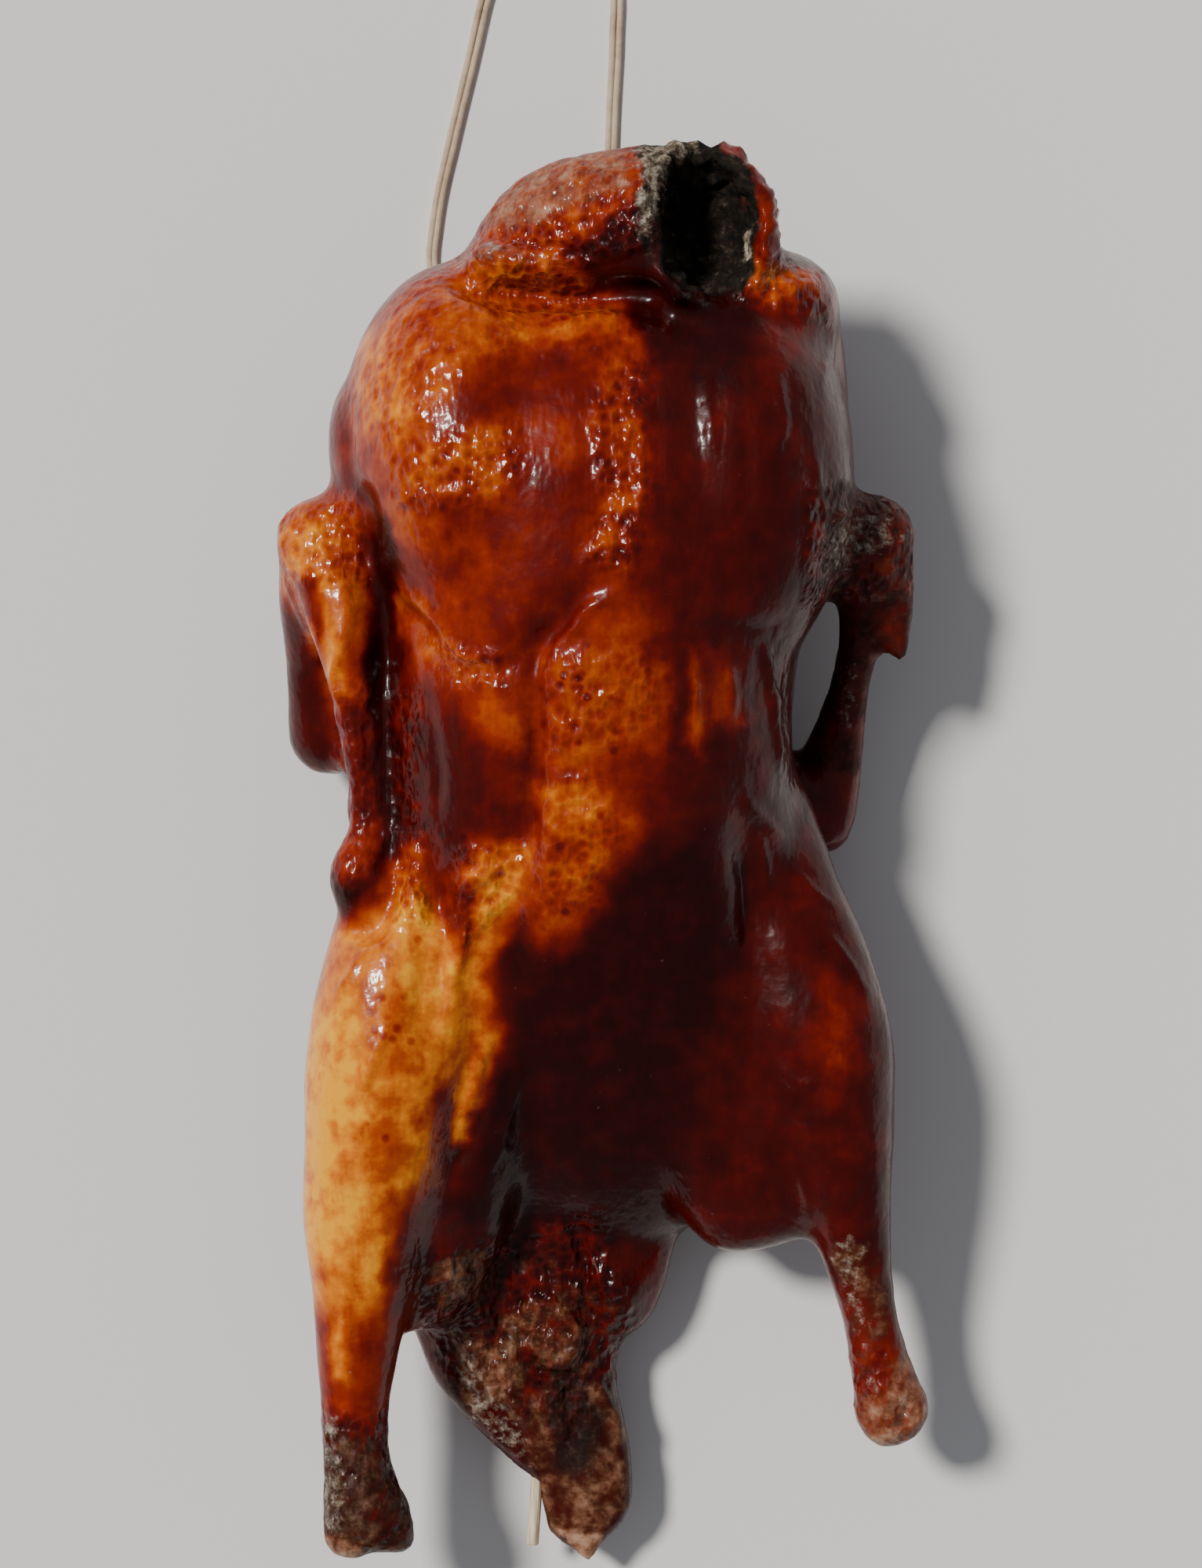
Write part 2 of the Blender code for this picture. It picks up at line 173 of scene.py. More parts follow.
def twine_material():
    """Pale tan cotton with a few small grease marks and a fibrous surface."""
    made, tree, shader = principled("cotton_twine", (0.55, 0.42, 0.29), 0.85)
    marks = noise_node(tree, 75, 4, roughness=0.7)
    colour = ramp(
        tree,
        marks,
        (
            (0.27, (0.12, 0.06, 0.03)),
            (0.34, (0.42, 0.3, 0.2)),
            (0.5, (0.56, 0.43, 0.3)),
            (0.75, (0.66, 0.54, 0.4)),
        ),
    )
    tree.links.new(colour, shader.inputs["Base Color"])
    fibres = noise_node(tree, 2600, 2, stretch=(1, 0.25, 1))
    bump = tree.nodes.new("ShaderNodeBump")
    bump.inputs["Strength"].default_value = 0.6
    bump.inputs["Distance"].default_value = 0.0002
    tree.links.new(fibres, bump.inputs["Height"])
    tree.links.new(bump.outputs["Normal"], shader.inputs["Normal"])
    return made


cotton = twine_material()


def to_scene(points, height):
    """Table points in millimetres, as places in the scene."""
    xy = (np.array(points)[:, :2] - TABLE_MIDDLE) * MM
    return np.column_stack([xy, np.full(len(xy), height * MM)])


def strand_mesh(route):
    """Two strings along the route, closer together near the neck, swaying a little against each other."""
    line = even_steps(to_scene(smooth_through(route, 400), TWINE_FLOOR), MM)
    ahead = np.gradient(line, axis=0)
    ahead /= np.linalg.norm(ahead, axis=1)[:, None]
    aside = np.stack([-ahead[:, 1], ahead[:, 0], np.zeros(len(line))], axis=1)
    close = np.interp(line[:, 1], SPREAD_FALLS, STRING_SPREAD[::-1])
    sway, turn = STRING_SWAY
    bm = bmesh.new()
    for side in (-1, 1):
        apart = close + sway * np.sin(np.arange(len(line)) * turn + 2 * side)
        tube_mesh(bm, line + aside * (side * apart * MM)[:, None], STRING_RADIUS * MM, STRING_SIDES)
    return bm, line


strings = {}
for name, route in STRANDS.items():
    bm, line = strand_mesh(route)
    strings[name] = (piece(name + "_strings", bm, cotton), even_steps(line, 2 * MM))
    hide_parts(name)


# The knot is an overhand knot in the same doubled twine, pulled into a small ball.
KNOT_CENTRE = (-19.6, 291.9, 4)
KNOT_LOOP = (2.6, 1.5, 1.9)
KNOT_OFFSET = 0.9
KNOT_STRING_RADIUS = 1.02


def knot_mesh():
    """Two strings, one above the other, along the line of a trefoil knot."""
    bm = bmesh.new()
    centre = np.array((*(np.array(KNOT_CENTRE[:2]) - TABLE_MIDDLE), KNOT_CENTRE[2])) * MM
    main, lobe, lift = KNOT_LOOP
    for offset in (-KNOT_OFFSET, KNOT_OFFSET):
        points = []
        for t in np.linspace(0, 2 * math.pi, 90):
            out = main + offset * 0.25 + lobe * math.cos(3 * t)
            place = (out * math.cos(2 * t), out * math.sin(2 * t), lift * math.sin(3 * t) + offset)
            points.append(centre + np.array(place) * MM)
        tube_mesh(bm, points, KNOT_STRING_RADIUS * MM, STRING_SIDES - 2)
    return bm


knot = piece("twine_knot_tied", knot_mesh(), cotton)
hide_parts("twine_knot")

for name, others in (("twine_left", [knot]), ("twine_right", [])):
    strand, line = strings[name]


# The duck is one piece of meat and skin, glazed and roasted hanging up, with its neck folded forward.
# Its skin is the solid's own form with finer flesh on it: muscle lumps, tucks where the skin hung in
# folds, feather pores, and a burnt, flaking rim round the open neck.
SKIN_VOXEL = 1.7 * MM
# Middle line, half width and height in millimetres of each ridge, or of each groove where it is below 0.
FOLDS = (
    # Breast: the bumpy keel, the lower edge of each lobe, and narrow upright tucks on the left lobe.
    (((7, 137), (8, 128), (6, 112), (5, 98), (3, 88), (3, 78)), 3.4, 1.2),
    (((-2, 136), (-3, 116), (-4, 98)), 4, -0.7),
    (((14, 140), (15, 115), (12, 92)), 3.6, -0.7),
    (((-59, 81), (-56, 75), (-47, 66), (-39, 57), (-34, 55), (-27, 57)), 2.2, 1.9),
    (((-57, 72), (-48, 59), (-40, 49), (-34, 48)), 3, -1.1),
    (((-43, 56), (-37, 48), (-30, 50)), 1.8, 1.1),
    (((5, 75), (0, 71), (-6, 66), (-11, 60), (-15, 52), (-17, 42)), 2, 1.9),
    (((-1, 77), (-9, 69), (-16, 59), (-20, 48)), 3.4, -1.3),
    (((8, 62), (24, 62.5), (40, 62), (53, 64)), 2.2, 0.8),
    (((29, 136), (30, 124), (31, 110)), 1.7, 1.1),
    (((50, 136), (50.5, 124), (49, 110)), 1.9, 1.2),
    (((66, 160), (66, 148), (62, 134)), 2.2, 1.0),
    (((40, 128), (41, 108), (39, 90)), 2.6, -0.8),
    (((60, 118), (62, 98), (58, 80)), 2.4, 0.9),
    # Waist: the groove beside the belly, upright tucks above the flank, and long tucks down both flanks.
    (((-19, 50), (-18, 34), (-19, 16), (-21, 0), (-23, -16)), 3.6, -1.8),
    (((26, 54), (27, 44), (27, 34)), 1.8, 1.1),
    (((35, 56), (37, 46), (36, 38)), 2, 0.9),
    (((45, 62), (48, 48), (50.5, 34), (53, 20)), 2, 1.9),
    (((40, 18), (46, 10), (53, 2)), 1.8, 1.2),
    (((44, 8), (47, -2), (49, -13)), 1.8, 1.2),
    (((55, -4), (62, -11), (69, -16)), 1.6, 1.0),
    (((38, 4), (42, -14), (44, -34)), 3.4, -1.4),
    (((-58, 50), (-57, 36), (-56, 14)), 2, 1.0),
    (((-50, 44), (-47, 28), (-47, 8)), 3, -0.8),
    (((-17, 30), (-15, 24), (-20, 18)), 1.8, 0.9),
    # Right thigh: skin pulled into folds above and along the leg.
    (((-21, -2), (-32, -4), (-39, -10), (-39, -20), (-41, -30), (-45, -44)), 2.6, 2.0),
    (((-44, -2), (-47, -12), (-46, -24), (-46, -40), (-48, -56)), 2.6, -1.6),
    (((-53, 4), (-54, -8), (-57, -19)), 2, 1.3),
    (((-69, -28), (-73, -36), (-78, -43)), 1.9, 1.1),
    (((-60, -46), (-64, -57), (-70, -70)), 2.6, 1.2),
    (((-34, -54), (-37, -68), (-43, -84)), 2, 1.2),
    (((-29, -50), (-32, -66), (-38, -84), (-46, -104)), 2.6, -1.3),
    (((-22, -60), (-27, -78), (-34, -96)), 2, 0.9),
    (((-75, -124), (-74, -142), (-75, -160)), 2, 1.0),
    # Left thigh: thin tucks in skin drawn tight over the joint.
    (((64, -22), (72, -32), (79, -46)), 1.9, 1.1),
    (((50, -60), (56, -66), (66, -65)), 1.7, 0.9),
    (((52, -74), (58, -77), (68, -75)), 1.7, 0.8),
    (((56, -88), (60, -99), (60, -110)), 2, 0.9),
    (((70, -88), (74, -95), (72, -103)), 1.8, 0.8),
    # Tail: wrinkled, dried skin round the vent, and the long ridges that run down to its tip.
    (((-12, -108), (-9, -122), (-5, -138)), 2.2, 1.3),
    (((-3, -112), (-2, -124), (-3, -136)), 2, 1.0),
    (((-52, -127), (-44, -124), (-36, -128)), 2, 1.3),
    (((-26, -141), (-17, -135), (-8, -143), (-10, -154), (-18, -150)), 2.6, 2.8),
    (((-24, -147), (-17, -142), (-14, -148)), 2.4, -1.8),
    (((-33, -148), (-27, -151), (-29, -160)), 2.4, 2.0),
    (((-44, -144), (-38, -152), (-38, -166)), 2.6, 1.9),
    (((-30, -160), (-23, -170), (-18, -183)), 2.2, 1.9),
    (((-5, -158), (2, -167), (6, -180)), 2.2, 2.0),
    (((-12, -156), (-9, -170), (-9, -184)), 4, -2.2),
    (((-34, -132), (-30, -144), (-34, -158)), 2.6, -1.3),
    # The pit in the left leg's bare bone.
    (((86, -163), (87.3, -164), (88.6, -165)), 2.6, -3),
    # Neck: the lens-shaped lip of skin under the fold, the crease below it, and the shoulder's tucks.
    (((-42, 171), (-30, 170), (-18, 166.5), (-6, 162)), 3.4, 1.5),
    (((-34, 163), (-22, 159.5), (-8, 158.5), (6, 159)), 1.7, -1.8),
    (((-38, 177), (-26, 175), (-12, 171), (4, 167)), 2.2, -1.5),
    (((-46, 158), (-34, 156), (-20, 154), (-4, 153), (8, 152)), 2.6, 0.9),
    (((52, 160), (58, 163), (63, 158)), 2, 1.2),
    (((38, 168), (46, 161), (54, 158)), 1.8, 1.0),
    (((-71, 126), (-73, 112), (-70, 100)), 2.6, -1.1),
    # Wings: sinews along the forearms and loose skin at the joints.
    (((-93, 79), (-88, 72), (-83, 60)), 1.9, 1.1),
    (((64, 78), (72, 86), (84, 90)), 1.5, 1.2),
    (((62, 90), (70, 98), (80, 102)), 1.5, 1.2),
    (((70, 76), (78, 82), (88, 84)), 1.5, 1.0),
    (((-76, 82), (-73, 68), (-77, 52), (-74, 34)), 1.9, 1.4),
    (((-82, 78), (-80, 62), (-80, 48)), 2.2, -1.0),
    (((-73, 44), (-71, 28), (-68, 10)), 1.6, 0.9),
    (((-68, 42), (-66, 26), (-65, 12)), 1.6, -0.8),
    (((-76, 101), (-71, 95), (-68, 87)), 1.8, 1.4),
    (((62, 92), (69, 97), (74, 102)), 1.6, 1.2),
    (((60, 84), (67, 89), (72, 95)), 1.6, 1.2),
    (((76, 70), (73, 50), (71, 30)), 2, 1.1),
)
# How deep the roast is, with painted light and shade in it: outlines laid one over another, each with the
# width of its edge and its level, from 0 where it stayed golden to 1 where it is near black. The right side,
# where the key light falls, is painted more golden, the left side, away from it, darker, and shaded places
# near black.
ROAST_AND_SHADE = (
    # The belly and the left side are the darkest; the left side's dark is partly a deeper roast and partly
    # painted shade, away from the key light.
    (((12, 150), (64, 170), (76, 110), (64, 30), (90, -60), (94, -140), (30, -120), (16, -60),
      (16, 20)), 26, 0.86),
    # Painted shade between the legs, round the vent.
    (((-28, -20), (-15, -25), (7, -2), (30, 9), (37, -25), (30, -71), (26, -116), (3, -125), (-29, -119),
      (-47, -104), (-42, -80), (-29, -55)), 17, 0.99),
    # Painted shadow of the neck's open end on the chest below it.
    (((22, 171), (37, 168), (42, 148), (34, 130), (16, 140), (10, 156)), 15, 0.97),
    (((-60, 47), (-39, 38), (-26, 20), (-28, 2), (-46, -2), (-59, 6)), 14, 0.86),
    (((44, 168), (62, 158), (64, 138), (46, 140)), 12, 0.72),
    # Painted shade in the gap by the right wing's top.
    (((-74, 104), (-64, 110), (-57, 96), (-58, 60), (-72, 60)), 10, 0.84),
    # Shoulder and breast.
    (((-58, 162), (-42, 168), (-28, 160), (-10, 156), (3, 156), (14, 149), (11, 139), (2, 146), (-6, 147),
      (-17, 143), (-33, 139), (-39, 133), (-48, 118), (-60, 104), (-69, 108), (-72, 132),
      (-70, 149)), 10, 0.42),
    (((-70, 150), (-61, 152), (-57, 126), (-63, 112), (-70, 130)), 9, 0.24),
    (((-60, 113), (-47, 116), (-36, 121), (-23, 121), (-21, 108), (-27, 99), (-36, 95), (-44, 99),
      (-60, 97)), 10, 0.46),
    (((-22, 124), (-13, 122), (-13, 110), (-20, 112)), 8, 0.52),
    (((-13, 123), (-6, 121), (-6, 108), (-12, 108)), 8, 0.54),
    (((2, 141), (11, 141), (11, 120), (3, 119)), 8, 0.56),
    (((-3, 122), (13, 121), (13, 106), (8, 97), (2, 93), (4, 84), (-4, 84), (-3, 98), (0, 107)), 8, 0.56),
    (((-60, 101), (-51, 98), (-45, 84), (-52, 86), (-60, 92)), 7, 0.38),
    (((-54, 88), (-23, 90), (-22, 73), (-26, 60), (-39, 62), (-52, 74)), 14, 0.6),
    (((-60, 80), (-52, 72), (-41, 61), (-29, 57), (-26, 49), (-38, 45), (-51, 55), (-61, 67)), 8, 0.46),
    (((-39, 48), (-24, 46), (-23, 30), (-33, 29), (-39, 38)), 10, 0.46),
    (((0, 76), (8, 79), (16, 66), (14, 58), (-5, 56), (-13, 54)), 10, 0.54),
    (((-17, 56), (-6, 59), (11, 59), (16, 48), (17, 37), (14, 29), (4, 31), (-4, 26), (-8, 24), (-16, 30),
      (-19, 42)), 10, 0.47),
    (((-17, 22), (-4, 26), (6, 15), (9, 7), (2, -5), (-3, -16), (-9, -24), (-19, -23), (-20, -2),
      (-17, 9)), 11, 0.49),
    (((-16, 21), (-4, 23), (-2, 9), (-15, 7)), 7, 0.33),
    (((24, 56), (29, 55), (30, 30), (24, 31)), 5, 0.5),
    (((30, 58), (41, 55), (41, 39), (32, 37)), 8, 0.54),
    # Right wing, and painted shade in the gap beside it.
    (((-66, 98), (-58, 95), (-59, 43), (-58, -12), (-64, -14), (-65, 9), (-68, 43), (-67, 70)), 4, 1),
    (((-96, 99), (-80, 107), (-69, 98), (-69, 80), (-67, 60), (-69, 44), (-79, 40), (-93, 76)), 6, 0.5),
    (((-95, 95), (-86, 99), (-77, 95), (-75, 81), (-94, 80)), 9, 0.25),
    (((-92, 80), (-80, 82), (-77, 66), (-82, 56)), 5, 0.66),
    (((-95, 80), (-89, 78), (-82, 60), (-85, 59)), 3, 0.3),
    (((-78, 81), (-71, 80), (-71, 65), (-75, 44), (-81, 49), (-79, 65)), 5, 0.22),
    (((-75, 44), (-69, 47), (-63, 4), (-70, 4), (-74, 28)), 5, 0.8),
    (((-96, 70), (-86, 56), (-80, 22), (-98, 22)), 6, 0.86),
    (((-80, -8), (-64, -9), (-64, -21), (-79, -21)), 5, 0.94),
    (((-79, 8), (-66, 8), (-66, -6), (-79, -6)), 6, 0.6),
    # Right thigh, golden, with a redder edge towards the belly, and the red shin below it.
    (((-62, -6), (-52, 3), (-47, -16), (-58, -26)), 9, 0.44),
    (((-90, -20), (-65, -15), (-49, -14), (-44, -21), (-41, -30), (-37, -21), (-36, -11), (-42, -8),
      (-37, 1), (-19, 3), (-19, -9), (-26, -18), (-31, -36), (-31, -57), (-40, -64), (-48, -70), (-50, -80),
      (-49, -91), (-51, -96), (-59, -99), (-60, -109), (-61, -126), (-64, -142), (-98, -142),
      (-100, -40)), 10, 0.22),
    (((-61, -22), (-47, -21), (-44, -38), (-50, -47), (-58, -41)), 10, 0.08),
    (((-86, -45), (-72, -41), (-68, -65), (-71, -92), (-67, -117), (-84, -120), (-98, -99),
      (-98, -72)), 13, 0.05),
    (((-70, -34), (-60, -40), (-49, -45), (-49, -63), (-58, -70), (-66, -60)), 10, 0.3),
    (((-68, -80), (-61, -92), (-54, -88), (-59, -76)), 7, 0.42),
    (((-37, -55), (-32, -55), (-36, -72), (-41, -84), (-44, -81)), 4, 0.24),
    (((-96, -134), (-60, -133), (-57, -170), (-96, -172)), 16, 0.6),
    (((-77, -122), (-72, -122), (-74, -154), (-78, -154)), 6, 0.18),
    (((-96, -169), (-54, -167), (-48, -222), (-96, -222)), 20, 0.96),
    # Redder patches on the left thigh and on the left shoulder.
    (((64, -35), (75, -44), (75, -58), (66, -69), (62, -54)), 13, 0.6),
    (((34, 171), (43, 174), (52, 167), (62, 166), (66, 157), (52, 158), (40, 164)), 6, 0.42),
    # Tail.
    (((-60, -118), (-20, -112), (14, -128), (16, -170), (8, -224), (-18, -224), (-40, -180)), 14, 0.93),
    # Neck, the lip of skin under it, and painted shade under the neck's bulge and, deepest, below its open
    # end.
    (((-40, 174), (-30, 194), (-15, 208), (8, 208), (14, 183), (14, 170), (-6, 166), (-26, 170)), 8, 0.56),
    (((-2, 176), (5, 180), (14, 185), (17, 160), (-2, 160), (-16, 167)), 7, 0.92),
    (((-43, 173), (-28, 174), (-16, 169), (-4, 162), (-19, 159), (-34, 161)), 6, 0.46),
    (((39, 199), (47, 197), (54, 188), (52, 177), (46, 179), (42, 187)), 5, 0.66),
    (((10, 168), (24, 159), (40, 163), (44, 152), (28, 140), (8, 148)), 7, 1),
)
UNPAINTED_ROAST = 0.7
BACK_ROAST = 0.8
# Where it is charred: round the neck's open end, at both legs' ends, on the tail and the left wing. Inside
# the open end the near black is partly char and partly painted shade, and in the pit of the left leg's bare
# bone it is painted shade.
CHAR_AND_SHADE = (
    (((11, 204), (20, 212), (36, 210), (34, 198), (24, 192), (20, 174), (14, 166), (8, 185)), 5, 0.75),
    # Inside the neck's open end: char and painted shade in the hollow.
    (((20, 199), (31, 203), (41, 195), (46, 180), (44, 166), (36, 161), (22, 157), (17, 167),
      (19, 180)), 4, 1),
    (((-84, -172), (-63, -168), (-60, -187), (-52, -201), (-86, -201)), 12, 0.42),
    (((-16, -150), (-6, -156), (3, -170), (-2, -188), (-16, -186)), 9, 0.62),
    (((70, -132), (84, -141), (84, -153), (74, -153)), 8, 0.35),
    (((56, 106), (96, 108), (98, 60), (78, 22), (58, 22), (66, 60)), 8, 0.5),
    # The pit in the left leg's bone: painted shade.
    (((84.5, -161), (89, -161), (89.5, -165.5), (85, -166)), 4, 0.75),
)
# Dried tan skin and bare pink bone, and a pinkish-tan sheen painted on the neck's top and on the lip under
# it.
DRIED_AND_SHEEN = (
    (((-58, -120), (-20, -116), (10, -134), (12, -170), (8, -200), (-14, -206), (-44, -160)), 12, 0.3),
    (((-54, -123), (-36, -119), (-32, -130), (-48, -139)), 6, 0.5),
    (((-28, -139), (-16, -131), (-4, -144), (-8, -157), (-18, -154)), 6, 0.5),
    (((-37, -146), (-25, -145), (-24, -162), (-33, -163)), 6, 0.62),
    (((-48, -142), (-36, -142), (-34, -169), (-43, -165)), 6, 0.52),
    (((-31, -160), (-18, -163), (-15, -186), (-22, -186)), 5, 0.5),
    (((-8, -156), (2, -160), (9, -179), (4, -183), (-3, -169)), 4, 0.5),
    (((-20, -184), (-2, -182), (8, -186), (8, -202), (-2, -212), (-18, -211)), 8, 0.52),
    (((-10, -207), (1, -207), (1, -222), (-10, -222)), 3, 0.85),
    (((66, -112), (84, -116), (92, -148), (74, -152)), 8, 0.45),
    (((72, -158), (89, -148), (102, -161), (101, -182), (76, -182)), 7, 0.64),
    (((-86, -170), (-60, -168), (-54, -200), (-86, -204)), 12, 0.46),
    (((-84, -200), (-68, -198), (-69, -214), (-84, -214)), 5, 0.75),
    (((-66, -200), (-50, -199), (-50, -214), (-66, -214)), 5, 0.5),
    # Neck top and the lip under it: tan partly their own brown, partly a painted sheen.
    (((-40, 178), (-20, 208), (8, 210), (8, 190), (-12, 176)), 12, 0.62),
    (((-44, 172), (-24, 173), (-10, 166), (-24, 164)), 5, 0.42),
)
# Grey ash on ridges and charred edges; on the right ankle's outer side, the left wing's knob and forearm,
# the tail's ridges, the left shin and hock and the lip under the neck the grey is partly ash and partly
# painted glints.
ASH_AND_GLINTS = (
    (((9, 200), (13, 207), (24, 208), (27, 200), (19, 196), (16, 182), (15, 174), (10, 176),
      (8, 188)), 5, 0.85),
    (((-83, -166), (-77, -165), (-74, -180), (-75, -198), (-81, -198)), 5, 0.6),
    (((60, 84), (72, 100), (86, 102), (88, 90), (74, 84), (64, 74)), 8, 0.55),
    (((70, 60), (76, 60), (74, 36), (70, 34)), 5, 0.4),
    (((-46, -148), (-37, -146), (-26, -176), (-20, -186), (-28, -184), (-40, -168)), 6, 0.5),
    (((68, -112), (76, -113), (78, -140), (72, -142)), 6, 0.5),
    (((-46, 172), (-34, 176), (-22, 174), (-30, 168)), 4, 0.5),
    (((74, -150), (80, -150), (80, -160), (75, -160)), 4, 0.5),
    (((40.4, 178), (42.8, 179), (44.4, 171), (41.6, 170)), 1, 1),
)
# The lumpy burnt rim of the neck's open end, and how high above the floor the rim and its char fade out
# where the shoulders' front wall begins.
NECK_RIM = ((6, 200), (18, 214), (48, 208), (58, 180), (48, 158), (22, 156), (8, 176))
RIM_HEIGHT = 66
CHAR_HEIGHT = 62
FADE_HEIGHT = 14
SHOULDER_LINE = 145
# Where the skin shrank into pebbles, and where its feather pores show as dark dots.
PEBBLED = (
    (((-59, 112), (-47, 115), (-36, 120), (-24, 120), (-22, 108), (-28, 99), (-43, 98),
      (-59, 97)), 8, 0.75),
    (((-56, 163), (-42, 168), (-28, 160), (-10, 156), (14, 149), (8, 142), (-33, 141), (-59, 108),
      (-70, 132)), 9, 0.45),
    (((-38, 174), (-29, 193), (-15, 206), (12, 206), (14, 170), (-6, 166), (-26, 170)), 4, 1),
    (((-44, 172), (-28, 174), (-5, 162), (6, 152), (-24, 152), (-36, 160)), 4, 0.9),
    (((0, 139), (13, 139), (14, 100), (8, 78), (-4, 82), (0, 100), (-4, 118)), 7, 0.8),
    (((-50, 62), (-38, 58), (-26, 58), (-26, 46), (-42, 48)), 5, 0.8),
    (((-15, 57), (12, 58), (16, 37), (4, 30), (-8, 26), (-16, 32), (-17, 42)), 7, 0.5),
    (((-15, 22), (-4, 24), (7, 7), (-5, -14), (-18, -20), (-18, 0)), 7, 0.6),
    (((-42, 2), (-20, 3), (-22, -10), (-40, -26)), 5, 0.8),
    (((-60, 6), (-50, 6), (-50, -20), (-60, -20)), 5, 0.8),
    (((-96, 100), (-70, 104), (-68, 78), (-94, 78)), 4, 0.7),
    (((58, 104), (94, 106), (94, 76), (58, 72)), 4, 1),
    (((-79, 48), (-67, 50), (-61, 4), (-72, -14), (-80, -4)), 5, 0.45),
    (((-58, -120), (0, -108), (12, -150), (-10, -178), (-46, -158)), 8, 0.9),
    (((-84, -164), (-52, -164), (-50, -212), (-84, -212)), 9, 0.7),
    (((70, -146), (99, -146), (99, -180), (70, -180)), 5, 0.5),
    (((34, 172), (64, 168), (66, 152), (40, 156)), 5, 0.9),
    (((-62, 46), (-52, 46), (-52, 8), (-60, 8)), 4, 0.6),
    (((47, 64), (52, 66), (56, 20), (51, 18)), 4, 0.2),
)
DOTTED = (
    (((-17, 57), (14, 58), (17, 37), (6, 30), (-8, 26), (-17, 32)), 7, 1),
    (((-16, 22), (-4, 24), (7, 7), (-5, -18), (-20, -22), (-19, 0)), 7, 0.7),
    (((-60, 113), (-24, 121), (-22, 106), (-36, 96), (-60, 96)), 7, 0.6),
    (((-44, 124), (-60, 150), (-68, 146), (-66, 110), (-56, 108)), 9, 0.5),
    (((-72, -30), (-46, -24), (-46, -66), (-70, -104), (-66, -60)), 9, 0.75),
    (((-60, 14), (-36, 8), (-38, -2), (-60, 2)), 9, 0.4),
)


def roasted_skin():
    """A copy of the solid with its doubles merged, remeshed evenly and smoothed."""
    bm = bmesh.new()
    bm.from_mesh(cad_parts["duck"].data)
    bmesh.ops.remove_doubles(bm, verts=bm.verts, dist=1e-6)
    mesh = bpy.data.meshes.new("coarse_skin")
    bm.to_mesh(mesh)
    bm.free()
    obj = bpy.data.objects.new("coarse_skin", mesh)
    home.objects.link(obj)
    even = obj.modifiers.new("even", "REMESH")
    even.mode = "VOXEL"
    even.voxel_size = SKIN_VOXEL
    soft = obj.modifiers.new("soft", "SMOOTH")
    soft.factor = 0.5
    soft.iterations = 7
    bpy.context.view_layer.update()
    done = bpy.data.meshes.new_from_object(obj.evaluated_get(bpy.context.evaluated_depsgraph_get()))
    bpy.data.objects.remove(obj)
    return done


def read(mesh, what):
    """The places or normals of the mesh's points, in rows of three."""
    values = np.zeros(len(mesh.vertices) * 3)
    mesh.vertices.foreach_get(what, values)
    return values.reshape(-1, 3)


def grain(places, size, stretch=(1, 1, 1), start=0.0):
    """Smooth noise from -1 to 1 with lumps of that size in millimetres."""
    scaled = places / (np.array(stretch) * size) + start
    return np.array([noise.noise(Vector(p)) for p in scaled])


def within(places, outline, edge):
    """1 inside the outline, falling smoothly to 0 across an edge of that width, seen from above."""
    ring = np.array(outline, float)
    xy = places[:, :2]
    near = np.flatnonzero(((xy > ring.min(axis=0) - edge) & (xy < ring.max(axis=0) + edge)).all(axis=1))
    x, y = xy[near].T
    apart, inside = np.full(len(near), 1e9), np.zeros(len(near), bool)
    for a, b in zip(ring, np.roll(ring, -1, axis=0)):
        side = b - a
        t = np.clip(((x - a[0]) * side[0] + (y - a[1]) * side[1]) / (side @ side), 0, 1)
        apart = np.minimum(apart, np.hypot(x - a[0] - t * side[0], y - a[1] - t * side[1]))
        if a[1] != b[1]:
            inside ^= ((a[1] > y) != (b[1] > y)) & (x < a[0] + (y - a[1]) * side[0] / side[1])
    depth = np.clip(np.where(inside, apart, -apart) / edge + 0.5, 0, 1)
    out = np.zeros(len(places))
    out[near] = depth * depth * (3 - 2 * depth)
    return out


def painted(places, table, start=0.0):
    """The table's outlines laid over one another on a ground of one level."""
    level = np.full(len(places), float(start))
    for outline, edge, value in table:
        cover = within(places, outline, edge)
        level += cover * (value - level)
    return level


def fold_heights(places, facing):
    """Height of the ridges and tucks of the skin on the breast side."""
    total = np.zeros(len(places))
    wander = np.stack([grain(places, 9, start=3.1), grain(places, 9, start=8.7)], axis=1) * 1.6
    xy = places[:, :2] + wander
    for route, width, height in FOLDS:
        line = smooth_through(route, 10 * len(route))
        low, high = line.min(axis=0) - 3 * width, line.max(axis=0) + 3 * width
        inside = np.flatnonzero(((xy > low) & (xy < high)).all(axis=1) & (facing > 0))
        apart = np.linalg.norm(xy[inside, None] - line[None], axis=2)
        nearest = apart.argmin(axis=1)
        ends = np.linspace(0, 1, len(line))
        fade = np.clip(np.minimum(ends, 1 - ends) * 4, 0.05, 1)[nearest]
        far = apart[np.arange(len(inside)), nearest]
        total[inside] += height * fade * np.exp(-((far / width) ** 2) * 2)
    return total * facing


def pebbled(places):
    """How pebbled the skin is, from 0 on tight glazed skin to 1."""
    broken = grain(places, 13, start=70) * 0.5 + grain(places, 6, start=75) * 0.3
    return np.clip(painted(places, PEBBLED) * (1 + 0.7 * broken) + 0.06 + 0.12 * broken, 0, 1)


def off_shoulders(places):
    """1, but 0 on the shoulders below the neck's open end, so that its char, painted shade and grey stay up
    on the neck.
    """
    high = np.clip((places[:, 2] - CHAR_HEIGHT) / FADE_HEIGHT, 0, 1)
    return np.where(places[:, 1] > SHOULDER_LINE, high, 1)


